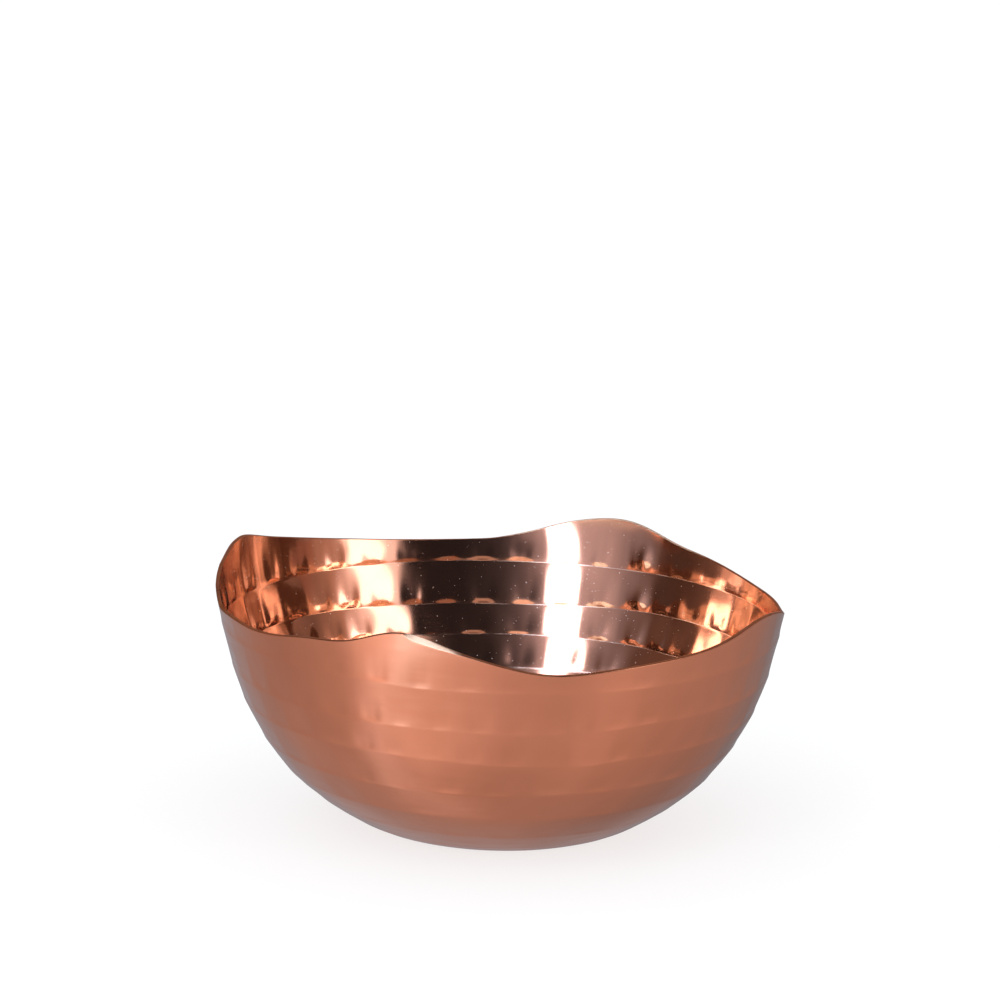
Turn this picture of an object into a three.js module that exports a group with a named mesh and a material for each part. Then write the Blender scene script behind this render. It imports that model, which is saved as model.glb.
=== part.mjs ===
// Hammered steel bowl with a copper finish and a wavy four-cornered rim.
//
// One sheet of steel, pressed into a round bowl that stands on its own flat
// base, trimmed to a wavy edge and buffed round along that edge. There is no
// separate foot, ring, handle or lining.
//
// Millimetres, +Z up. The origin is the centre of the underside of the flat
// base; the bowl's axis is +Z and the front of the bowl looks towards -Y.

import * as THREE from 'three';
import { mergeVertices } from 'three/addons/utils/BufferGeometryUtils.js';

// ---- driving dimensions ---------------------------------------------------

const WALL = 1.0;            // sheet thickness
const BASE_R = 30.0;         // radius of the flat base that the bowl stands on

// Outer profile above the base: slope of the wall in degrees from level,
// against the length of sheet in mm from the edge of the flat base.
const SHEET_S = [0, 4.2, 9.5, 15.9, 24.3, 34.9, 47.6, 61.3, 76.1, 95.1];
const SLOPE_DEG = [0, 18.8, 27.0, 33.8, 38.6, 51.9, 62.6, 73.6, 77.4, 92.6];

// Height of the rim's top edge at every 10 degrees, anticlockwise seen from
// above, starting at +X. High corners near 65, 160, 250 and 330 degrees.
const RIM_Z = [
  57.7, 57.4, 57.6, 58.6, 60.4, 62.6, 66.3, 66.7, 63.8,
  59.8, 58.8, 59.1, 60.0, 61.6, 63.7, 66.3, 68.3, 65.3,
  62.9, 59.4, 59.6, 59.5, 60.3, 62.2, 63.7, 67.3, 64.3,
  60.4, 57.9, 58.4, 59.3, 60.2, 61.9, 64.5, 63.9, 60.9,
];

const SECTORS = 90;          // around the bowl
const RINGS = 15;            // up the wall, each side
const LIP_STEPS = 4;         // round the buffed edge of the rim
const STEP_S = 0.1;          // integration step along the sheet

const COPPER = new THREE.Color(0.73, 0.45, 0.36);

// ---- the profile of the wall ----------------------------------------------

function table(xs, ys, x) {
  if (x <= xs[0]) return ys[0];
  for (let i = 1; i < xs.length; i++) {
    if (x <= xs[i]) {
      const t = (x - xs[i - 1]) / (xs[i] - xs[i - 1]);
      return ys[i - 1] + t * (ys[i] - ys[i - 1]);
    }
  }
  return ys[ys.length - 1];
}

const slope = (s) => THREE.MathUtils.degToRad(table(SHEET_S, SLOPE_DEG, s));

// Walk up the sheet once and keep its radius and height at every step.
const walkS = [0];
const walkR = [BASE_R];
const walkZ = [0];
for (let s = 0; s < SHEET_S[SHEET_S.length - 1] - 1e-6; s += STEP_S) {
  const a = slope(s + STEP_S / 2);
  walkS.push(s + STEP_S);
  walkR.push(walkR[walkR.length - 1] + Math.cos(a) * STEP_S);
  walkZ.push(walkZ[walkZ.length - 1] + Math.sin(a) * STEP_S);
}

// A point of the wall, `depth` in from its outer surface, `s` up the sheet.
function wall(s, depth) {
  const a = slope(s);
  return new THREE.Vector2(
    table(walkS, walkR, s) - depth * Math.sin(a),
    table(walkS, walkZ, s) + depth * Math.cos(a),
  );
}

// ---- the wavy rim ---------------------------------------------------------

// Closed cubic spline through the rim heights.
const bend = RIM_Z.map(() => 0);
for (let pass = 0; pass < 80; pass++) {
  for (let i = 0; i < RIM_Z.length; i++) {
    const p = (i + RIM_Z.length - 1) % RIM_Z.length;
    const n = (i + 1) % RIM_Z.length;
    bend[i] = (6 * (RIM_Z[n] - 2 * RIM_Z[i] + RIM_Z[p]) - bend[p] - bend[n]) / 4;
  }
}

function rimHeight(turn) {
  const u = (((turn % 1) + 1) % 1) * RIM_Z.length;
  const i = Math.floor(u) % RIM_Z.length;
  const j = (i + 1) % RIM_Z.length;
  const b = u - Math.floor(u);
  const a = 1 - b;
  return a * RIM_Z[i] + b * RIM_Z[j] + ((a ** 3 - a) * bend[i] + (b ** 3 - b) * bend[j]) / 6;
}

// Length of sheet from the base's edge to the rim's top edge.
const rimSheet = (turn) => table(walkZ, walkS, rimHeight(turn));

// ---- the shell ------------------------------------------------------------

// Section of the sheet at one angle: from the axis along the underside of the
// base, up the outside, round the lip, down the inside and back to the axis.
function section(turn) {
  const end = rimSheet(turn) - WALL / 2;
  const points = [new THREE.Vector2(0, 0)];
  for (let i = 0; i <= RINGS; i++) {
    points.push(wall(end * (i / RINGS) ** 1.15, 0));
  }
  const a = slope(end);
  const centre = wall(end, WALL / 2);
  for (let i = 1; i < LIP_STEPS; i++) {
    const b = (Math.PI * i) / LIP_STEPS;
    const across = -Math.cos(b) * (WALL / 2);
    const along = Math.sin(b) * (WALL / 2);
    points.push(new THREE.Vector2(
      centre.x - across * Math.sin(a) + along * Math.cos(a),
      centre.y + across * Math.cos(a) + along * Math.sin(a),
    ));
  }
  for (let i = RINGS; i >= 0; i--) {
    points.push(wall(end * (i / RINGS) ** 1.15, WALL));
  }
  points.push(new THREE.Vector2(0, WALL));
  return points;
}

function bowlShell() {
  // Turned like a lathe part, then every section is set to its own rim height.
  const first = section(0);
  const shell = new THREE.LatheGeometry(first, SECTORS);
  const position = shell.getAttribute('position');
  for (let k = 0; k <= SECTORS; k++) {
    const turn = (k % SECTORS) / SECTORS;
    const angle = turn * Math.PI * 2;
    const points = section(turn);
    for (let j = 0; j < points.length; j++) {
      position.setXYZ(
        k * points.length + j,
        points[j].x * Math.cos(angle),
        points[j].x * Math.sin(angle),
        points[j].y,
      );
    }
  }
  shell.deleteAttribute('normal');
  shell.deleteAttribute('uv');
  const whole = mergeVertices(shell, 1e-4);

  // Drop the triangles that closed up on the axis.
  const index = whole.getIndex().array;
  const kept = [];
  for (let i = 0; i < index.length; i += 3) {
    const [a, b, c] = [index[i], index[i + 1], index[i + 2]];
    if (a !== b && b !== c && c !== a) kept.push(a, b, c);
  }
  whole.setIndex(kept);
  return facingOut(whole);
}

// Make the faces point out of the metal: a closed mesh whose signed volume is
// negative is inside out.
function facingOut(geometry) {
  const p = geometry.getAttribute('position');
  const index = Array.from(geometry.getIndex().array);
  const a = new THREE.Vector3();
  const b = new THREE.Vector3();
  const c = new THREE.Vector3();
  let volume = 0;
  for (let i = 0; i < index.length; i += 3) {
    a.fromBufferAttribute(p, index[i]);
    b.fromBufferAttribute(p, index[i + 1]);
    c.fromBufferAttribute(p, index[i + 2]);
    volume += a.dot(b.cross(c)) / 6;
  }
  if (volume < 0) {
    for (let i = 0; i < index.length; i += 3) {
      [index[i + 1], index[i + 2]] = [index[i + 2], index[i + 1]];
    }
    geometry.setIndex(index);
  }
  geometry.computeVertexNormals();
  return geometry;
}

const copperFinish = new THREE.MeshStandardMaterial({
  color: COPPER,
  metalness: 1.0,
  roughness: 0.3,
});

const bowl = new THREE.Group();
const shell = new THREE.Mesh(bowlShell(), copperFinish);
shell.name = 'bowl_shell';
bowl.add(shell);

export default bowl;
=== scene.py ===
import math

import bpy
import numpy as np
from mathutils import Matrix, Vector

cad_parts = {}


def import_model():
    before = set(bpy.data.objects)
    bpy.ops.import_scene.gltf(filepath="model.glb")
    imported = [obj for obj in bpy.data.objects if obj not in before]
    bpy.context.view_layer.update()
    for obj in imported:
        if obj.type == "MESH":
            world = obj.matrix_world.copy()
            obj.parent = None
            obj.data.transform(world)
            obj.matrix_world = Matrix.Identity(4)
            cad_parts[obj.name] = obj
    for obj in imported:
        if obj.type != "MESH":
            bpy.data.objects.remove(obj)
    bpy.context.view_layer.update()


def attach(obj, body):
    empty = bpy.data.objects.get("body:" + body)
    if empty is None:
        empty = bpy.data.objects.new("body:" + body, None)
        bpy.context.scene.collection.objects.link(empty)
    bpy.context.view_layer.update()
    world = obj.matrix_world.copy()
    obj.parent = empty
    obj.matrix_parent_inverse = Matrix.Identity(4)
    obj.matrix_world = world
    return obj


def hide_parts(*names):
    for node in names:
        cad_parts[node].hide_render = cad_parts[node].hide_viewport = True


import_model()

MM = 0.001
rng = np.random.default_rng(11)

# ---------------------------------------------------------------------------
# Dimensions, in millimetres. The profile and the rim are those of the CAD;
# the trimmed edge wavers from that rim by half a millimetre here and there.
# ---------------------------------------------------------------------------
WALL = 1.0
BASE_R = 30.0
SHEET_S = [0, 4.2, 9.5, 15.9, 24.3, 34.9, 47.6, 61.3, 76.1, 95.1]
SLOPE_DEG = [0, 18.8, 27.0, 33.8, 38.6, 51.9, 62.6, 73.6, 77.4, 92.6]
RIM_Z = np.array([
    57.7, 57.4, 57.6, 58.6, 60.4, 62.6, 66.3, 66.7, 63.8,
    59.8, 58.8, 59.1, 60.0, 61.6, 63.7, 66.3, 68.3, 65.3,
    62.9, 59.4, 59.6, 59.5, 60.3, 62.2, 63.7, 67.3, 64.3,
    60.4, 57.9, 58.4, 59.3, 60.2, 61.9, 64.5, 63.9, 60.9,
])

# How much higher than the CAD's rim the trimmed edge is: (angle, mm), and how
# far the top of the wall is pressed in: (angle, mm at the rim).
RIM_WAVER = [
    (0, 0.45), (15, 0.42), (28, 0.34), (42, 0.20), (54, -0.16), (63, -0.02), (74, -0.42), (81, -0.56), (91, 0.0),
    (97, 0.15), (106, 0.13), (115, 0.18),
    (123, 0.26), (135, 0.20), (152, 0.22), (160, 0.42), (166, 0.72), (172, 0.70), (180, 0.30), (190, 0.0), (350, 0.0),
]
PRESSED = [(0, 0.62), (30, 0.15), (60, 0.0), (300, 0.0), (330, 0.25), (350, 0.62)]

# Lines between the rows of hammer marks: (angle, length of sheet from the
# base's edge). The rows run round the bowl and waver a little.
ROW_LINES = [
    [(45, 73.3), (90, 72.8), (106, 72.9), (130, 73.0), (140, 73.2), (180, 73.4), (245, 73.6), (254, 73.0), (290, 72.8), (330, 73.2)],
    [(50, 62.4), (90, 60.7), (107, 60.9), (143, 61.9), (180, 62.0), (243, 61.7), (258, 61.5), (274, 61.1), (288, 61.2), (302, 62.2), (340, 62.4)],
    [(45, 52.0), (57, 52.4), (85, 52.2), (97, 52.0), (140, 52.6), (180, 52.8), (242, 52.7), (256, 52.5), (273, 51.5), (290, 51.2), (300, 52.0), (340, 52.3)],
    [(62, 42.9), (85, 42.6), (140, 42.0), (180, 41.6), (248, 41.2), (270, 40.9), (283, 41.5), (340, 42.3)],
    [(0, 31.9), (90, 32.2), (180, 31.6), (270, 31.2)],
    [(0, 21.2), (90, 21.5), (180, 20.9), (270, 19.9)],
    [(0, 10.6), (90, 10.9), (180, 10.3), (270, 10.0)],
]
# Centres of hammer marks, degrees; the rest of each row is filled in at about
# the row's own pitch.
MARKS = [
    ([94.9, 102.6, 111.4, 120.6, 129.6, 140.2, 245.4, 254.4], 9.2),
    ([50.6, 84.7, 94.2, 103.2, 143.2, 243.4, 249.9, 258.1, 265.9, 274.1, 287.2, 294.0, 302.2], 8.6),
    ([44.2, 49.9, 57.0, 66.5, 85.5, 97.0, 107.0, 241.0, 247.2, 255.9, 264.5, 273.0, 290.1, 297.0], 8.9),
    ([62.6, 72.4, 85.3, 247.7, 258.8, 270.4, 282.9], 10.8),
    ([252.6, 268.0, 297.6], 12.0),
    ([271.0], 14.0),
    ([265.0], 18.0),
    ([270.0], 24.0),
]
# How far each row is sunk between the lines above and under it, on the inner
# face, which the hammer struck, and on the outer face, which shows it softer;
# and how much each mark's own face is dished beside its neighbours, mm.
ROW_INNER = [0.42, 0.48, 0.60, 0.56, 0.36, 0.24, 0.14, 0.0]
ROW_OUTER = [0.25, 0.28, 0.28, 0.26, 0.21, 0.16, 0.10, 0.0]
FACE_DEPTH = [0.024, 0.026, 0.030, 0.030, 0.026, 0.022, 0.016, 0.0]
# the bowl was struck harder on its two sides: (angle, times)
HARDER = [(0, 2.6), (30, 1.8), (55, 1.0), (120, 1.0), (145, 1.8), (175, 2.8), (205, 1.6), (235, 0.9), (310, 0.9), (335, 1.6)]
# its front shows less of that outside, and the feet of the marks inside are of
# uneven depth: (angle, times)
HARDER_OUT = [(0, 2.6), (30, 1.8), (55, 1.0), (120, 1.0), (145, 1.8), (175, 2.8), (205, 1.6), (228, 0.85), (240, 0.42), (310, 0.42), (322, 0.9), (335, 1.6)]
FEET_IN = [
    (0, 0.85), (25, 0.72), (50, 0.72), (64, 0.85), (70, 0.6), (73, 0.42), (80, 0.42), (84, 0.75), (90, 1.0), (100, 1.0),
    (106, 0.62), (112, 0.62), (119, 1.0), (180, 1.0), (260, 1.0), (340, 0.9),
]
# how far to each side of its middle a mark's foot stays steep and where it has
# run out, as shares of the mark's half width, and how much it is shallower there
# inside; outside, the last is only a quarter of that
FOOT_REACH = [(0.20, 0.64, 0.34)] + [(0.22, 0.78, 0.22)] * 2 + [(0.22, 0.78, 0.30)] * 5
STRUCK_IN = (ROW_INNER, HARDER, FEET_IN, 1.0)
STRUCK_OUT = (ROW_OUTER, HARDER_OUT, [(0, 1.0)], 0.25)

# ---------------------------------------------------------------------------
# Profile, rim and hammer marks as functions of (angle, length of sheet)
# ---------------------------------------------------------------------------
STEP = 0.05
_s = np.arange(0, 100, STEP)
_psi = np.radians(np.interp(_s, SHEET_S, SLOPE_DEG))
_k = np.exp(-0.5 * (np.arange(-60, 61) * STEP / 1.2) ** 2)
_k /= _k.sum()
_psi = np.convolve(np.pad(_psi, 60, mode="reflect", reflect_type="odd"), _k, mode="valid")
_mid = (_psi[:-1] + _psi[1:]) / 2
_r = BASE_R + np.concatenate([[0], np.cumsum(np.cos(_mid) * STEP)])
_z = np.concatenate([[0], np.cumsum(np.sin(_mid) * STEP)])


def rim_height(theta):
    n = len(RIM_Z)
    bend = np.zeros(n)
    for _ in range(80):
        for i in range(n):
            p, q = (i - 1) % n, (i + 1) % n
            bend[i] = (6 * (RIM_Z[q] - 2 * RIM_Z[i] + RIM_Z[p]) - bend[p] - bend[q]) / 4
    u = (theta / (2 * np.pi) % 1.0) * n
    i = np.floor(u).astype(int) % n
    j = (i + 1) % n
    b = u - np.floor(u)
    a = 1 - b
    return a * RIM_Z[i] + b * RIM_Z[j] + ((a ** 3 - a) * bend[i] + (b ** 3 - b) * bend[j]) / 6


def around(points, theta):
    """A smooth closed curve through (degrees, value) points."""
    pts = sorted(points)
    a = np.radians([p[0] for p in pts])
    v = np.array([p[1] for p in pts], float)
    a = np.concatenate([a - 2 * np.pi, a, a + 2 * np.pi])
    v = np.concatenate([v, v, v])
    t = theta % (2 * np.pi)
    k = np.searchsorted(a, t, side="right") - 1
    f = (t - a[k]) / (a[k + 1] - a[k])
    f = f * f * (3 - 2 * f)
    return v[k] * (1 - f) + v[k + 1] * f


def mark_centres(anchors, pitch):
    anchors = sorted(anchors)
    out = []
    for i, a in enumerate(anchors):
        b = anchors[(i + 1) % len(anchors)]
        gap = (b - a) % 360 or 360
        n = max(1, round(gap / pitch))
        out.append(a)
        for j in range(1, n):
            out.append(a + gap * j / n + float(rng.uniform(-0.11, 0.11)) * gap / n)
    return np.radians(np.array(sorted(x % 360 for x in out)))


CENTRES = [mark_centres(a, p) for a, p in MARKS]
JITTER = [
    {
        "depth": 1 + rng.uniform(-0.22, 0.22, len(c)),
        "face": 1 + rng.uniform(-0.6, 0.6, len(c)),
        "foot": rng.uniform(2.6, 3.3, len(c)),
        "lean": rng.uniform(-0.12, 0.12, len(c)),
    }
    for c in CENTRES
]


def smooth(x):
    x = np.clip(x, 0, 1)
    return x * x * (3 - 2 * x)


def hammer(theta, s, s_rim, struck):
    """How far the hammer has driven the sheet inward, mm, on a grid. Each row
    sinks under the line above it and comes back out to the line below:
    steeply in the middle of a mark, gently between two marks."""
    row_depth, harder, feet, ends = struck
    harder, feet = around(harder, theta)[:, None], around(feet, theta)[:, None]
    lines = [around(points, theta) for points in ROW_LINES]
    bounds = [s_rim + 0.3] + lines + [np.full_like(theta, 1.0)]
    turn = theta % (2 * np.pi)
    depth = np.zeros_like(s)
    for row, centres in enumerate(CENTRES):
        if row_depth[row] == 0:
            continue
        top, low = bounds[row][:, None], bounds[row + 1][:, None]
        inside = (s <= top) & (s > low)
        n = len(centres)
        nxt = np.roll(centres, -1) + np.where(np.arange(n) == n - 1, 2 * np.pi, 0)
        edge = (centres + nxt) / 2
        k = np.searchsorted(edge, turn, side="right") % n
        k = np.where(turn < edge[-1] - 2 * np.pi, n - 1, k)
        left = np.roll(edge, 1)
        left[0] -= 2 * np.pi
        c, lo, hi = centres[k], left[k], edge[k]
        t = turn - c
        t = np.where(t > np.pi, t - 2 * np.pi, np.where(t < -np.pi, t + 2 * np.pi, t))
        u = np.where(t < 0, t / (c - lo), t / (hi - c))[:, None]
        jit = {key: v[k][:, None] for key, v in JITTER[row].items()}
        level = around(list(zip(np.degrees(centres), JITTER[row]["depth"])), theta)[:, None]
        height = top - low
        size = row_depth[row] * level * feet * np.clip((height - 1.5) / 5.0, 0, 1)
        up = np.clip(s - low, 0, None)
        v = up / height
        side = 0.62 * height
        foot = np.minimum(jit["foot"], 0.95 * side)
        full, gone, less = FOOT_REACH[row]
        out = smooth((np.abs(u - jit["lean"] * (1 - u * u)) - full) / (gone - full))
        foot = foot + (side - foot) * out
        size = size * (1 - less * ends * out)
        rise = 1 - np.clip(1 - up / foot, 0, 1) ** 1.6
        brow = np.clip(1 - v, 0, 1)
        corner = u ** 4 + (0 if row == 0 else np.clip((v - 0.45) / 0.53, 0, None) ** 4)
        face = smooth(1 - corner) * smooth(up / 1.2)
        h = size * rise * brow + FACE_DEPTH[row] * jit["face"] * face * harder
        depth = np.where(inside, h, depth)
    return depth


_waves = [
    (int(rng.integers(2, 15)), float(rng.uniform(0.02, 0.22)), float(rng.uniform(0, 6.28)), float(rng.uniform(0.4, 1.0)))
    for _ in range(14)
]


def unevenness(theta, s):
    """The sheet is hand-finished: its surface wanders by less than 0.1 mm."""
    out = np.zeros_like(s)
    for m, w, ph, a in _waves:
        out += a * np.sin(m * theta[:, None] + w * s + ph)
    return 0.012 * out


# small round dimples inside, left by the tool's edge: (degrees, s, radius, depth)
DIMPLES = [(57.6, 76.9, 1.8, 0.50), (57.2, 65.2, 1.9, 0.40), (69.6, 74.6, 0.9, 0.10)]


def dimples(theta, s):
    out = np.zeros_like(s)
    r = np.interp(s, _s, _r)
    for a, s0, rad, dep in DIMPLES:
        d = np.hypot(((theta[:, None] - math.radians(a) + np.pi) % (2 * np.pi) - np.pi) * r, s - s0)
        out += dep * np.exp(-(d / rad) ** 2)
    return out


def relief(theta, s, s_rim, struck):
    """Inward displacement of the mean surface, mm."""
    h = hammer(theta, s, s_rim, struck) - 0.09 + unevenness(theta, s) + dimples(theta, s)
    h = h + around(PRESSED, theta)[:, None] * smooth((s - 60.0) / 20.0)
    return h * smooth((s - 1.0) / 5.0)


def place(theta, s, depth):
    """Points of the sheet, `depth` mm in from its mean outer face."""
    r = np.interp(s, _s, _r)
    z = np.interp(s, _s, _z)
    p = np.interp(s, _s, _psi)
    rr = r - depth * np.sin(p)
    zz = z + depth * np.cos(p)
    t = theta[:, None]
    return np.stack([rr * np.cos(t), rr * np.sin(t), zz], -1)


# ---------------------------------------------------------------------------
# The bowl
# ---------------------------------------------------------------------------
COLUMNS = 600

# Where rings lie in a row: mm up from its lower line, shares of what is left
# between, and mm down from its upper line.
FINER_IN = ([0, 0.25, 0.6, 1.0, 1.5, 2.1, 2.9], [0.2, 0.4, 0.6, 0.8], [0.62, 0.42, 0.26, 0.12])
FINE_IN = ([0, 0.25, 0.6, 1.0, 1.5, 2.1, 2.9], [0.35, 0.68], [0.62, 0.42, 0.26, 0.12])
FINE_OUT = ([0, 0.3, 0.7, 1.3, 2.2], [0.35, 0.68], [0.6, 0.4, 0.2])
PLAIN = ([0, 0.8, 2.4], [0.5], [0.6])


def ring_levels(theta, end, levels):
    """Lengths of sheet for every ring, (columns, rings), from the base's edge
    up, with rings lying along the lines between the hammer rows. Also 1 for
    each ring that lies on such a line."""
    lines = [around(points, theta) for points in ROW_LINES][::-1]
    stops = [np.full_like(theta, 1.0)] + lines + [end]
    cols = [np.full_like(theta, 0.0), np.full_like(theta, 0.5)]
    near = [0.0, 0.0]
    for row, (a, b) in enumerate(zip(stops[:-1], stops[1:])):
        ups, shares, downs = levels[len(stops) - 2 - row]
        fit = np.minimum(1.0, (b - a) / (ups[-1] + downs[0] + 2.0))
        for d in ups:
            cols.append(a + d * fit)
            near.append(1.0 if d == 0 and row else 0.0)
        lo, hi = a + ups[-1] * fit, b - downs[0] * fit
        for f in shares:
            cols.append(lo + (hi - lo) * f)
            near.append(0.0)
        for d in downs:
            cols.append(b - d * fit)
            near.append(0.0)
    cols.append(end)
    near.append(0.0)
    return np.stack(cols, 1), np.array(near)


EDGE_R = 0.24                # the trimmed edge's two corners are broken this much


def buffed_edge(theta, s_rim, rub):
    """The rim's edge, from the outer face over to the inner one. `rub` is 0
    for plain broken corners and 1 where the belt has taken a broad bevel."""
    out = []
    r = EDGE_R
    bevel = [(0.05, -1.28), (0.24, -0.96), (0.47, -0.58), (0.67, -0.24), (0.77, -0.07), (0.82, 0.0)]
    for k, a in enumerate(np.radians([14, 32, 50, 66, 80, 90])):
        depth = r * (1 - math.cos(a)) * (1 - rub) + bevel[k][0] * rub
        along = r * (math.sin(a) - 1) * (1 - rub) + bevel[k][1] * rub
        s = (s_rim + along)[:, None]
        out.append(place(theta, s, depth[:, None] + relief(theta, s, s_rim, STRUCK_OUT))[:, 0])
    for k, a in enumerate(np.radians([88, 45, 18])):
        c = r * (1 - rub) + 0.14 * rub
        depth = WALL - c * (1 - math.cos(a))
        s = (s_rim - c + c * math.sin(a))[:, None]
        out.append(place(theta, s, depth[:, None] + relief(theta, s, s_rim, STRUCK_IN))[:, 0])
    return np.stack(out, 1)


# how worn the lines between the rows are inside: (angle, 0 to 1)
LINES_WORN = [(0, 0.5), (30, 0.8), (75, 1.0), (92, 0.75), (104, 0.45), (125, 0.25), (150, 0.15), (215, 0.15), (260, 0.6), (320, 0.5)]


def build_bowl():
    theta = np.arange(COLUMNS) / COLUMNS * 2 * np.pi
    deg = np.degrees(theta)
    s_rim = np.interp(rim_height(theta) + around(RIM_WAVER, theta), _z, _s)
    rub = smooth((deg - 251.0) / 2.6) * (1 - smooth((deg - 253.6) / 12.0))

    reach_out = EDGE_R * (1 - rub) + 1.4 * rub
    reach_in = EDGE_R * (1 - rub) + 0.14 * rub
    s_out, _ = ring_levels(theta, s_rim - reach_out, [FINE_OUT] * 4 + [PLAIN] * 4)
    s_in, near = ring_levels(theta, s_rim - reach_in, [FINER_IN] * 2 + [FINE_IN] * 2 + [PLAIN] * 4)
    outer = place(theta, s_out, relief(theta, s_out, s_rim, STRUCK_OUT))
    inner = place(theta, s_in, WALL + relief(theta, s_in, s_rim, STRUCK_IN))
    lip = buffed_edge(theta, s_rim, rub)
    # lighter edge colour: 1 where the rim was ground to a bevel at the front, plus a painted highlight of 0.45 along
    # the back of the rim, from about 36 to 84 degrees
    ground_and_painted_highlight = rub + 0.45 * smooth((deg - 36.0) / 14.0) * (1 - smooth((deg - 84.0) / 9.0))

    floor_r = np.array([28.0, 20, 11, 4])

    def disc(z):
        return np.stack([
            floor_r[None, :] * np.cos(theta)[:, None],
            floor_r[None, :] * np.sin(theta)[:, None],
            np.full((COLUMNS, len(floor_r)), z),
        ], -1)

    # one grid from the centre of the underside, up, over and down to the floor
    grid = np.concatenate([disc(0.0)[:, ::-1], outer, lip, inner[:, ::-1], disc(WALL)], 1)
    rings = grid.shape[1]
    co = grid.reshape(-1, 3)
    co = np.concatenate([co, [[0, 0, 0.0], [0, 0, WALL]]]) * MM
    pole_under, pole_floor = len(co) - 2, len(co) - 1

    i = np.arange(COLUMNS)[:, None]
    j = np.arange(rings - 1)[None, :]
    n = (i + 1) % COLUMNS
    quads = np.stack([
        np.broadcast_to(i * rings + j, (COLUMNS, rings - 1)),
        np.broadcast_to(n * rings + j, (COLUMNS, rings - 1)),
        np.broadcast_to(n * rings + j + 1, (COLUMNS, rings - 1)),
        np.broadcast_to(i * rings + j + 1, (COLUMNS, rings - 1)),
    ], -1).reshape(-1, 4)
    c = np.arange(COLUMNS)
    d = (c + 1) % COLUMNS
    fan_a = np.stack([np.full(COLUMNS, pole_under), d * rings, c * rings], -1)
    fan_b = np.stack([np.full(COLUMNS, pole_floor), c * rings + rings - 1, d * rings + rings - 1], -1)

    first_lip = len(floor_r) + outer.shape[1] - 1
    last_lip = len(floor_r) + outer.shape[1] + lip.shape[1]
    band = np.broadcast_to(np.arange(rings - 1)[None, :], (COLUMNS, rings - 1)).reshape(-1)
    slot = np.where(band < first_lip, 0, np.where(band < last_lip, 1, 2))

    mesh = bpy.data.meshes.new("hammered_bowl")
    mesh.from_pydata(co.tolist(), [], quads.tolist() + fan_a.tolist() + fan_b.tolist())
    mesh.polygons.foreach_set("use_smooth", np.ones(len(mesh.polygons), bool))
    mesh.polygons.foreach_set(
        "material_index",
        np.concatenate([slot, np.zeros(COLUMNS, int), np.full(COLUMNS, 2)]).astype(np.int32),
    )

    # where a point is on the sheet, for the materials: around, up the sheet,
    # and distance below the rim, all in metres; and where the plating is worn
    # on the lines between rows inside, where the rim has been ground bright,
    # and where a painted highlight lightens the back of the rim
    up = np.concatenate([
        np.broadcast_to(floor_r[::-1] - BASE_R, (COLUMNS, len(floor_r))),
        s_out,
        np.broadcast_to(s_rim[:, None], lip.shape[:2]),
        s_in[:, ::-1],
        np.broadcast_to(floor_r - BASE_R, (COLUMNS, len(floor_r))),
    ], 1)
    below = s_rim[:, None] - up
    sheet = np.stack([np.broadcast_to(theta[:, None] * 60.0, up.shape), up, below], -1).reshape(-1, 3)
    sheet = np.concatenate([sheet, [[0, -BASE_R, 100.0], [0, -BASE_R, 100.0]]]) * MM
    attribute = mesh.attributes.new("sheet", "FLOAT_VECTOR", "POINT")
    attribute.data.foreach_set("vector", sheet.astype(np.float32).ravel())
    wear_and_painted_highlight = np.concatenate([
        np.zeros((COLUMNS, len(floor_r) + s_out.shape[1])),
        np.broadcast_to(ground_and_painted_highlight[:, None], lip.shape[:2]),
        around(LINES_WORN, theta)[:, None] * near[::-1],
        np.zeros((COLUMNS, len(floor_r))),
    ], 1)
    wear_and_painted_highlight = np.concatenate([wear_and_painted_highlight.ravel(), [0, 0]])
    attribute = mesh.attributes.new("wear_and_painted_highlight", "FLOAT", "POINT")
    attribute.data.foreach_set("value", wear_and_painted_highlight.astype(np.float32))

    mesh.validate()
    mesh.update()
    ob = bpy.data.objects.new("hammered_bowl", mesh)
    bpy.context.scene.collection.objects.link(ob)
    return ob


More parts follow.
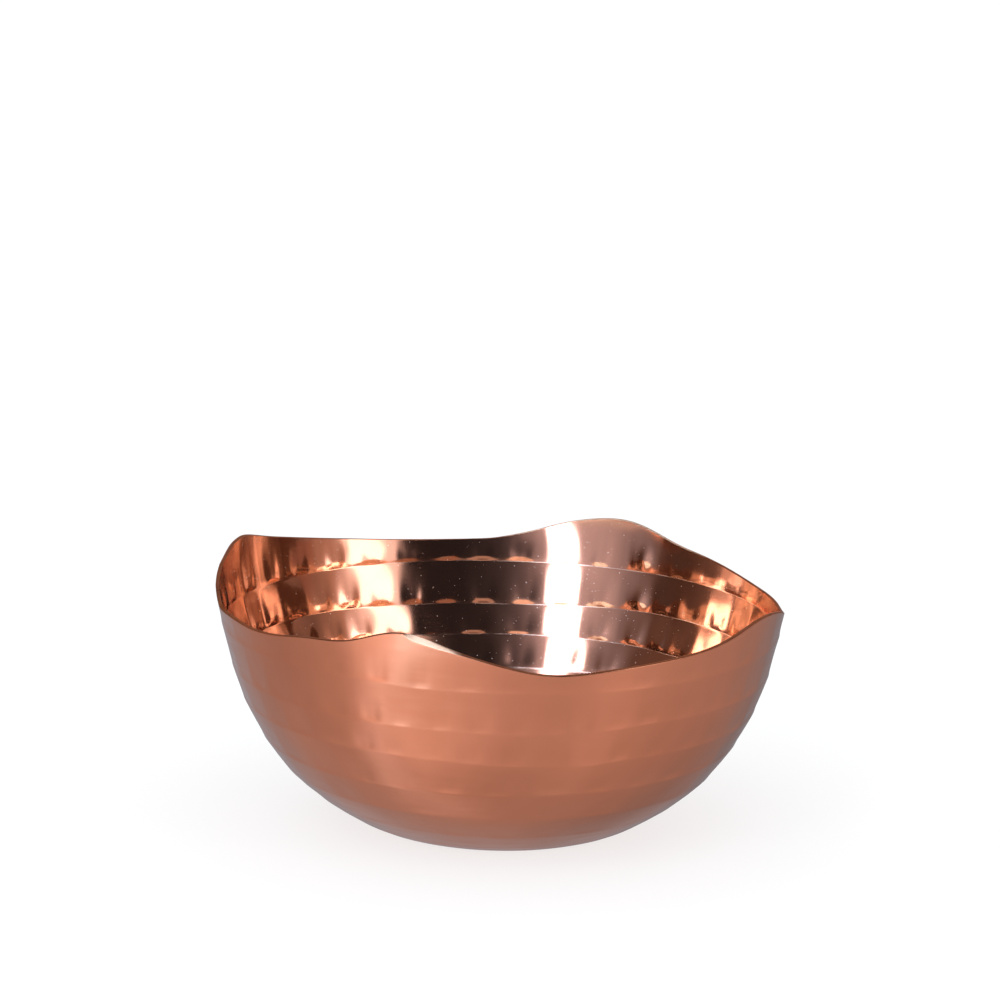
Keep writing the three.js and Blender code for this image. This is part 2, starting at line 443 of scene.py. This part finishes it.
# ---------------------------------------------------------------------------
# Materials
# ---------------------------------------------------------------------------
class Nodes:
    def __init__(self, name):
        self.mat = bpy.data.materials.new(name)
        self.mat.use_nodes = True
        self.tree = self.mat.node_tree
        self.tree.nodes.clear()
        self.out = self.add("ShaderNodeOutputMaterial")
        self.shader = self.add("ShaderNodeBsdfPrincipled")
        self.link(self.shader.outputs[0], self.out.inputs[0])

    def add(self, kind, **props):
        node = self.tree.nodes.new(kind)
        for k, v in props.items():
            setattr(node, k, v)
        return node

    def link(self, a, b):
        self.tree.links.new(a, b)

    def noise(self, vector, scale, detail=3.0, rough=0.5):
        node = self.add("ShaderNodeTexNoise")
        node.inputs["Scale"].default_value = scale
        node.inputs["Detail"].default_value = detail
        node.inputs["Roughness"].default_value = rough
        self.link(vector, node.inputs["Vector"])
        return node.outputs["Fac"]

    def scaled(self, vector, xyz):
        node = self.add("ShaderNodeMapping")
        node.inputs["Scale"].default_value = xyz
        self.link(vector, node.inputs["Vector"])
        return node.outputs[0]

    def remap(self, value, a, b, c, d):
        node = self.add("ShaderNodeMapRange")
        node.inputs["From Min"].default_value = a
        node.inputs["From Max"].default_value = b
        node.inputs["To Min"].default_value = c
        node.inputs["To Max"].default_value = d
        self.link(value, node.inputs["Value"])
        return node.outputs[0]

    def math(self, op, a, b=None, c=None):
        node = self.add("ShaderNodeMath", operation=op)
        for sock, v in zip(node.inputs, (a, b, c)):
            if v is None:
                continue
            if isinstance(v, (int, float)):
                sock.default_value = v
            else:
                self.link(v, sock)
        return node.outputs[0]

    def mix(self, fac, a, b):
        node = self.add("ShaderNodeMix", data_type="RGBA")
        self.link(fac, node.inputs[0])
        for sock, v in zip((node.inputs[6], node.inputs[7]), (a, b)):
            if isinstance(v, tuple):
                sock.default_value = (*v, 1)
            else:
                self.link(v, sock)
        return node.outputs[2]

    def bump(self, height, strength, distance, normal=None):
        node = self.add("ShaderNodeBump")
        node.inputs["Strength"].default_value = strength
        node.inputs["Distance"].default_value = distance
        self.link(height, node.inputs["Height"])
        if normal is not None:
            self.link(normal, node.inputs["Normal"])
        return node.outputs[0]


def copper_inside():
    m = Nodes("copper_mirror_inside")
    sheet = m.add("ShaderNodeAttribute", attribute_name="sheet").outputs["Vector"]
    line = m.add("ShaderNodeAttribute", attribute_name="wear_and_painted_highlight").outputs["Fac"]
    obj = m.add("ShaderNodeTexCoord").outputs["Object"]
    # plating rubbed thin along the lines between rows, and small pits and dust
    patchy = m.remap(m.noise(m.scaled(sheet, (150, 150, 1)), 1.0, 2), 0.36, 0.60, 0.15, 1.0)
    thin = m.math("MULTIPLY", line, patchy)
    pits = m.remap(m.noise(obj, 1900, 1), 0.735, 0.80, 0.0, 1.0)
    marred = m.math("MAXIMUM", thin, pits)
    cloud = m.noise(obj, 60, 3)
    plating = m.mix(m.remap(cloud, 0.35, 0.65, 0, 1), (0.705, 0.350, 0.245), (0.735, 0.378, 0.272))
    m.link(m.mix(marred, plating, (0.93, 0.76, 0.68)), m.shader.inputs["Base Color"])
    smear = m.remap(m.noise(m.scaled(sheet, (14, 60, 1)), 1.0, 4), 0.3, 0.7, 0.08, 0.125)
    m.link(m.math("MULTIPLY_ADD", marred, 0.34, smear), m.shader.inputs["Roughness"])
    grain = m.noise(m.scaled(sheet, (900, 5200, 1)), 1.0, 2)
    m.link(m.bump(grain, 0.05, 0.00002), m.shader.inputs["Normal"])
    m.shader.inputs["Metallic"].default_value = 1.0
    return m.mat


def copper_outside():
    m = Nodes("copper_satin_outside")
    sheet = m.add("ShaderNodeAttribute", attribute_name="sheet").outputs["Vector"]
    obj = m.add("ShaderNodeTexCoord").outputs["Object"]
    cloud = m.noise(obj, 45, 4)
    m.link(m.mix(m.remap(cloud, 0.35, 0.65, 0, 1), (0.775, 0.272, 0.158), (0.82, 0.296, 0.176)), m.shader.inputs["Base Color"])
    smear = m.noise(m.scaled(sheet, (60, 420, 1)), 1.0, 4)
    m.link(m.remap(smear, 0.3, 0.7, 0.18, 0.26), m.shader.inputs["Roughness"])
    grain = m.noise(m.scaled(sheet, (700, 9000, 1)), 1.0, 3)
    m.link(m.bump(grain, 0.12, 0.00003), m.shader.inputs["Normal"])
    m.link(m.add("ShaderNodeTangent", direction_type="RADIAL", axis="Z").outputs[0], m.shader.inputs["Tangent"])
    m.shader.inputs["Metallic"].default_value = 1.0
    m.shader.inputs["Anisotropic"].default_value = 0.6
    m.shader.inputs["Anisotropic Rotation"].default_value = 0.25
    return m.mat


def copper_edge():
    m = Nodes("copper_buffed_edge")
    sheet = m.add("ShaderNodeAttribute", attribute_name="sheet").outputs["Vector"]
    ground_and_highlight_mask = m.add("ShaderNodeAttribute", attribute_name="wear_and_painted_highlight").outputs["Fac"]
    rub = m.noise(m.scaled(sheet, (260, 60, 1)), 1.0, 4)
    # the edge is coloured a darker copper than the faces
    darker_edge_tone = m.mix(m.remap(rub, 0.35, 0.7, 0, 1), (0.36, 0.135, 0.075), (0.50, 0.20, 0.115))
    # pale where the rim was ground at the front, and pale as a painted highlight along the back of the rim; both also
    # make the edge rougher
    ground_and_painted_highlight = m.remap(m.math("MULTIPLY_ADD", rub, 0.25, ground_and_highlight_mask), 0.22, 0.55, 0.0, 1.0)
    m.link(m.mix(ground_and_painted_highlight, darker_edge_tone, (0.97, 0.70, 0.50)), m.shader.inputs["Base Color"])
    m.link(m.math("MULTIPLY_ADD", ground_and_painted_highlight, 0.24, m.remap(rub, 0.3, 0.7, 0.26, 0.34)), m.shader.inputs["Roughness"])
    m.shader.inputs["Metallic"].default_value = 1.0
    m.shader.inputs["Specular Tint"].default_value = (0.80, 0.52, 0.40, 1)
    return m.mat


bowl = build_bowl()
for make in (copper_outside, copper_edge, copper_inside):
    bowl.data.materials.append(make())
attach(bowl, "root")
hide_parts("bowl_shell")

# ---------------------------------------------------------------------------
# Studio: pale floor, soft light
# ---------------------------------------------------------------------------
def build_floor():
    n, R = 96, 8.0
    ring = [(R * math.cos(2 * math.pi * i / n), R * math.sin(2 * math.pi * i / n), 0.0) for i in range(n)]
    mesh = bpy.data.meshes.new("floor")
    mesh.from_pydata(ring, [], [list(range(n))])
    ob = bpy.data.objects.new("floor", mesh)
    ob.location.z = -0.00002
    bpy.context.scene.collection.objects.link(ob)
    m = Nodes("pale_floor")
    obj = m.add("ShaderNodeTexCoord").outputs["Object"]
    m.link(m.mix(m.noise(obj, 3, 3), (0.225, 0.235, 0.24), (0.24, 0.25, 0.255)), m.shader.inputs["Base Color"])
    m.shader.inputs["Emission Color"].default_value = (1.0, 1.0, 1.0, 1.0)
    m.shader.inputs["Emission Strength"].default_value = 0.75
    m.shader.inputs["Roughness"].default_value = 0.9
    m.shader.inputs["Specular IOR Level"].default_value = 0.0
    mesh.materials.append(m.mat)
    # the metal mirrors the studio below instead of this flat sheet
    ob.visible_glossy = False
    ob.visible_shadow = False
    return ob


build_floor()


def world():
    """The studio that the metal mirrors: azimuth 0 is the camera's side, and
    positive azimuth is to its right; degrees. Below the horizon lies a glossy
    table that mirrors the lights above it."""
    w = bpy.data.worlds.new("studio")
    bpy.context.scene.world = w
    w.use_nodes = True
    t = w.node_tree
    t.nodes.clear()

    def add(kind, **props):
        node = t.nodes.new(kind)
        for k, v in props.items():
            setattr(node, k, v)
        return node

    def put(sock, v):
        if isinstance(v, (int, float)):
            sock.default_value = v
        else:
            t.links.new(v, sock)

    def calc(op, *args):
        node = add("ShaderNodeMath", operation=op)
        for sock, v in zip(node.inputs, args):
            put(sock, v)
        return node.outputs[0]

    def step(x, a, b):
        """0 below a, 1 above b, smooth between; or the other way round."""
        node = add("ShaderNodeMapRange", interpolation_type="SMOOTHSTEP")
        put(node.inputs["Value"], x)
        lo, hi = min(a, b), max(a, b)
        node.inputs["From Min"].default_value = lo
        node.inputs["From Max"].default_value = hi
        node.inputs["To Min"].default_value = 0.0 if a < b else 1.0
        node.inputs["To Max"].default_value = 1.0 if a < b else 0.0
        return node.outputs[0]

    def mul(*args):
        out = args[0]
        for v in args[1:]:
            out = calc("MULTIPLY", out, v)
        return out

    def ramp(x, stops, interpolation="LINEAR"):
        node = add("ShaderNodeValToRGB")
        t.links.new(x, node.inputs[0])
        node.color_ramp.interpolation = interpolation
        while len(node.color_ramp.elements) < len(stops):
            node.color_ramp.elements.new(0.5)
        for element, (a, v) in zip(node.color_ramp.elements, stops):
            element.position = (a + 180) / 360
        for element, (a, v) in zip(node.color_ramp.elements, stops):
            element.color = (v, v, v, 1)
        return node.outputs[0]

    def tinted(value, rgb):
        node = add("ShaderNodeVectorMath", operation="SCALE")
        node.inputs[0].default_value = rgb
        put(node.inputs["Scale"], value)
        return node.outputs[0]

    def total(*colours):
        out = colours[0]
        for c in colours[1:]:
            node = add("ShaderNodeVectorMath", operation="ADD")
            t.links.new(out, node.inputs[0])
            t.links.new(c, node.inputs[1])
            out = node.outputs[0]
        return out

    coord = add("ShaderNodeTexCoord")
    sep = add("ShaderNodeSeparateXYZ")
    t.links.new(coord.outputs["Generated"], sep.inputs[0])
    x, y, z = sep.outputs
    deg = 180 / math.pi
    az = mul(calc("ARCTAN2", x, mul(y, -1.0)), deg)
    el = mul(calc("ARCSINE", z), deg)
    high = calc("ABSOLUTE", el)
    pos = calc("ADD", calc("DIVIDE", az, 360.0), 0.5)

    cool, warm = (0.92, 0.98, 1.18), (1.08, 1.0, 0.96)

    # walls and dark corners of the room
    room = ramp(pos, [
        (-180, 0.50), (-152, 0.40), (-140, 0.34), (-127, 0.30), (-118, 0.26), (-106, 0.20), (-101, 0.15), (-96, 0.10), (-90, 0.065),
        (-74, 0.058), (-68, 0.13), (-60, 0.29), (-52, 0.47), (-44, 0.66), (-36, 0.72), (-26, 0.68), (-17, 0.48), (-11, 0.19), (-4, 0.085),
        (3, 0.055), (11, 0.034), (20, 0.026), (43, 0.024), (47, 0.45), (66, 0.50), (74, 0.45), (82, 0.33), (91, 0.17), (98, 0.14), (120, 0.35), (180, 0.50),
    ])
    room = calc("ADD", room, mul(step(az, -102.0, -92.0), step(az, -58.0, -72.0), step(high, 11.0, 21.0), 0.05))
    room = calc("ADD", room, mul(step(az, -20.0, -15.0), step(az, -3.0, -10.0), step(high, 15.0, 9.0), 0.20))
    window = calc("ADD", mul(step(az, -124.0, -117.0), step(az, -99.0, -108.0), 0.36), mul(step(az, -119.0, -116.5), step(az, -110.5, -113.0), 0.75))
    room = calc("ADD", room, mul(window, step(high, 19.0, 12.0)))
    ceiling = step(high, 46.0, 66.0)
    room = calc("ADD", mul(room, calc("SUBTRACT", 1.0, ceiling)), mul(ceiling, 0.14))

    # left: a bright tall strip that leans; right: a broad softer one; and a
    # bright one behind on the right
    lean = calc("MINIMUM", calc("ADD", 21.5, mul(high, 0.36)), 34.0)
    off = calc("DIVIDE", calc("ADD", az, lean), calc("ADD", 0.90, mul(step(high, 14.0, 28.0), 0.42)))
    strip = mul(step(off, -8.2, -5.4), step(off, 8.0, 5.2), step(high, 60.0, 52.0), 5.7)
    # how often a ray has met the metal: the right-hand light is screened from
    # the ones that come from wall to wall, and a soft ring of light behind and
    # above the bowl is seen only by them
    path = add("ShaderNodeLightPath")
    again = step(path.outputs["Glossy Depth"], 1.4, 1.6)
    tilted = calc("ADD", az, mul(high, 0.45))
    broad = calc("ADD",
                 mul(step(tilted, 57.0, 62.0), step(tilted, 78.0, 71.0), 1.95),
                 mul(step(az, 43.5, 46.5), step(az, 77.0, 66.0), 1.08))
    bars = calc("ADD", calc("ADD", mul(step(az, 39.0, 41.5), step(az, 48.0, 45.5)), mul(step(az, 53.0, 55.0), step(az, 61.0, 59.0))),
                mul(step(az, 66.0, 68.0), step(az, 75.0, 73.0)))
    screened = calc("SUBTRACT", 0.80, mul(bars, 0.72))
    broad = mul(broad, step(high, 60.0, 50.0), calc("SUBTRACT", 1.0, mul(again, screened)))
    strip = mul(strip, calc("ADD", 1.0, mul(again, 0.7)))
    halo = mul(step(off, -15.0, -8.0), step(off, 15.0, 8.0), step(high, 8.0, 13.0), step(high, 34.0, 26.0), again)
    upper = mul(step(az, -86.0, -78.0), step(az, -46.0, -56.0), step(high, 38.0, 42.0), step(high, 62.0, 54.0), 4.0)
    ring = total(
        tinted(mul(step(az, -84.0, -92.0), step(az, -146.0, -136.0), 0.33), (0.70, 1.0, 1.2)),
        tinted(mul(step(az, -138.0, -148.0), 0.85), (0.60, 1.0, 1.35)),
        tinted(mul(step(az, 144.0, 154.0), step(az, 176.0, 170.0), 2.6), (0.70, 1.0, 1.25)),
        tinted(mul(step(az, 78.0, 92.0), step(az, 152.0, 142.0), 5.5), (0.50, 1.0, 1.45)),
    )
    wing = mul(step(az, -94.0, -86.0), step(az, -48.0, -58.0), step(high, 5.0, 9.0), step(high, 44.0, 38.0),
               calc("ADD", 0.95, mul(calc("ADD", mul(step(az, -82.0, -80.0), step(az, -74.0, -76.0)), mul(step(az, -66.0, -64.0), step(az, -57.0, -59.0))), 1.3)))
    front = mul(step(az, -20.0, -14.0), step(az, 10.0, 2.0), step(high, 13.0, 17.0), step(high, 34.0, 28.0), 1.3)
    dusk = mul(step(az, 4.0, 12.0), step(az, 54.0, 44.0), step(high, 6.0, 10.0), step(high, 34.0, 26.0), 0.08)

    # the room looks browner towards its two sides
    side = calc("ADD", mul(step(az, -56.0, -84.0), step(az, -138.0, -124.0)), mul(step(az, 62.0, 80.0), step(az, 134.0, 118.0)))
    above = total(tinted(mul(room, calc("SUBTRACT", 1.0, side)), (0.98, 0.97, 1.10)),
                  tinted(mul(room, side), (1.50, 0.98, 0.75)),
                  tinted(mul(step(az, 84.0, 89.0), step(az, 100.0, 95.0), step(high, 13.0, 8.0), 0.10), (1.0, 0.18, 0.02)),
                  tinted(strip, cool), tinted(broad, warm), tinted(halo, (0.30, 0.95, 1.05)),
                  tinted(mul(calc("ADD", wing, calc("ADD", upper, front)), again), (1.08, 1.0, 0.90)),
                  tinted(mul(dusk, again), (1.4, 1.0, 0.8)))
    ring_on = add("ShaderNodeVectorMath", operation="SCALE")
    put(ring_on.inputs[0], ring)
    put(ring_on.inputs["Scale"], mul(again, step(high, 15.0, 21.0), step(high, 52.0, 44.0)))
    above = total(above, ring_on.outputs[0])
    # light that comes from wall to wall keeps less red
    thrice = step(path.outputs["Glossy Depth"], 2.4, 2.6)
    for often, kept in ((again, (0.91, 1.03, 0.92)), (thrice, (0.96, 1.12, 1.04))):
        keep = add("ShaderNodeVectorMath", operation="MULTIPLY")
        t.links.new(above, keep.inputs[0])
        t.links.new(total(tinted(calc("SUBTRACT", 1.0, often), (1.0, 1.0, 1.0)), tinted(often, kept)), keep.inputs[1])
        above = keep.outputs[0]

    # the table: its own pale surface, darker right under the bowl and behind,
    # and the mirrored lights, stronger towards the horizon
    table = ramp(pos, [
        (-180, 0.30), (-165, 0.32), (-150, 0.36), (-137, 0.41), (-120, 0.455), (-105, 0.45), (-85, 0.545), (-69, 0.62), (-61, 0.86), (-52, 0.93), (-40, 0.88),
        (-26, 0.80), (-12, 0.70), (4, 0.60), (30, 0.565), (62, 0.585), (76, 0.52), (92, 0.475), (112, 0.43), (126, 0.355), (140, 0.29), (158, 0.235), (170, 0.27), (180, 0.30),
    ])
    under = ramp(pos, [(-180, 0.46), (-110, 0.55), (-60, 0.47), (0, 0.455), (60, 0.43), (110, 0.42), (180, 0.46)])
    near = step(el, -80.0, -52.0)
    table = calc("ADD", mul(table, near), mul(calc("SUBTRACT", 1.0, near), under))
    backdrop = mul(ramp(pos, [(-180, 1.0), (-152, 0.8), (-126, 0.2), (-106, 0.0), (122, 0.0), (146, 0.2), (165, 0.65), (180, 0.9)]),
                   step(el, -75.0, -46.0))
    table = mul(table, calc("ADD", 1.0, mul(step(high, 46.0, 14.0), 0.18)))
    away = calc("ABSOLUTE", az)
    table = mul(table, calc("SUBTRACT", 1.0, mul(step(az, -50.0, -68.0), step(high, 39.0, 30.0), 0.13)),
                calc("ADD", 1.0, mul(step(away, 148.0, 164.0), step(high, 27.0, 36.0), step(high, 70.0, 56.0), 0.22)),
                calc("SUBTRACT", 1.0, mul(step(az, 140.0, 155.0), step(high, 33.0, 26.0), 0.24)))
    glow = mul(step(high, 36.0, 14.0), step(az, -75.0, -50.0), step(az, 20.0, -15.0), 0.35)
    slant = calc("SINE", calc("DIVIDE", high, deg))
    fresnel = calc("ADD", 0.04, mul(calc("POWER", calc("SUBTRACT", 1.0, slant), 5.0), 0.96))
    low_lean = calc("SUBTRACT", calc("ADD", 20.0, mul(high, 0.95)), mul(step(high, 39.0, 34.0), 6.5))
    low_off = calc("ADD", az, low_lean)
    low_strip = mul(step(calc("ADD", low_off, mul(step(high, 42.0, 49.0), 10.0)), -13.0, -3.0), step(low_off, 5.5, 1.0), 6.8)
    low_glare = mul(step(low_off, -9.0, -3.0), step(low_off, 13.0, 2.0), step(high, 44.0, 35.0), 7.0)
    low_broad = mul(step(az, 41.0, 46.0), step(az, 70.0, 56.0), 1.6)
    low_room = calc("ADD", 0.34, low_broad)
    below = total(
        tinted(calc("ADD", mul(table, calc("SUBTRACT", 1.0, fresnel)), glow), (1.0, 0.99, 0.98)),
        tinted(mul(low_room, fresnel), (1.0, 1.0, 1.0)),
        tinted(mul(low_strip, fresnel), (0.80, 1.06, 1.34)),
        tinted(mul(low_glare, fresnel), (0.06, 0.66, 1.05)),
        tinted(backdrop, (0.02, 0.10, 0.16)),
    )

    mix = add("ShaderNodeMix", data_type="RGBA")
    put(mix.inputs[0], calc("LESS_THAN", el, 0.0))
    t.links.new(above, mix.inputs[6])
    t.links.new(below, mix.inputs[7])

    # what the camera sees past the floor's edge, and what lights the floor:
    # plain and pale
    plain = add("ShaderNodeMix", data_type="RGBA")
    put(plain.inputs[0], calc("MAXIMUM", path.outputs["Is Camera Ray"], path.outputs["Is Diffuse Ray"]))
    t.links.new(mix.outputs[2], plain.inputs[6])
    plain.inputs[7].default_value = (0.93, 0.93, 0.93, 1)
    bg = add("ShaderNodeBackground")
    t.links.new(plain.outputs[2], bg.inputs[0])
    out = add("ShaderNodeOutputWorld")
    t.links.new(bg.outputs[0], out.inputs[0])


world()


def floor_light():
    """Broad soft daylight from above that lights the floor evenly."""
    data = bpy.data.lights.new("daylight", "SUN")
    data.energy = 0.5
    data.angle = math.radians(70)
    ob = bpy.data.objects.new("daylight", data)
    ob.rotation_euler = (math.radians(8), math.radians(-10), 0)
    ob.location = (0, 0, 2)
    ob.visible_glossy = False
    bpy.context.scene.collection.objects.link(ob)


floor_light()

# ---------------------------------------------------------------------------
# Camera, from the fit to the photo's outline
# ---------------------------------------------------------------------------
def camera():
    dist, e, yaw, pitch, roll, f, look = 1162.48, 14.5474, -0.0632, 2.3760, 1.4735, 4381.3, 36.988
    e, yaw, pitch, roll = map(math.radians, (e, yaw, pitch, roll))
    c = Vector((0, -dist * math.cos(e), look + dist * math.sin(e))) * MM
    el = -e + pitch
    fwd = Vector((math.sin(yaw) * math.cos(el), math.cos(yaw) * math.cos(el), math.sin(el)))
    right = fwd.cross(Vector((0, 0, 1))).normalized()
    up = right.cross(fwd)
    r = right * math.cos(roll) + up * math.sin(roll)
    u = up * math.cos(roll) - right * math.sin(roll)
    data = bpy.data.cameras.new("camera")
    data.sensor_width = 36.0
    data.sensor_fit = "HORIZONTAL"
    data.lens = f / 1000 * 36.0
    data.clip_start, data.clip_end = 0.01, 50
    ob = bpy.data.objects.new("camera", data)
    ob.matrix_world = Matrix((
        (r.x, u.x, -fwd.x, c.x),
        (r.y, u.y, -fwd.y, c.y),
        (r.z, u.z, -fwd.z, c.z),
        (0, 0, 0, 1),
    ))
    bpy.context.scene.collection.objects.link(ob)
    bpy.context.scene.camera = ob


camera()

view = bpy.context.scene.view_settings
view.view_transform = "Standard"
view.look = "None"
view.exposure = 0.0
view.gamma = 1.0
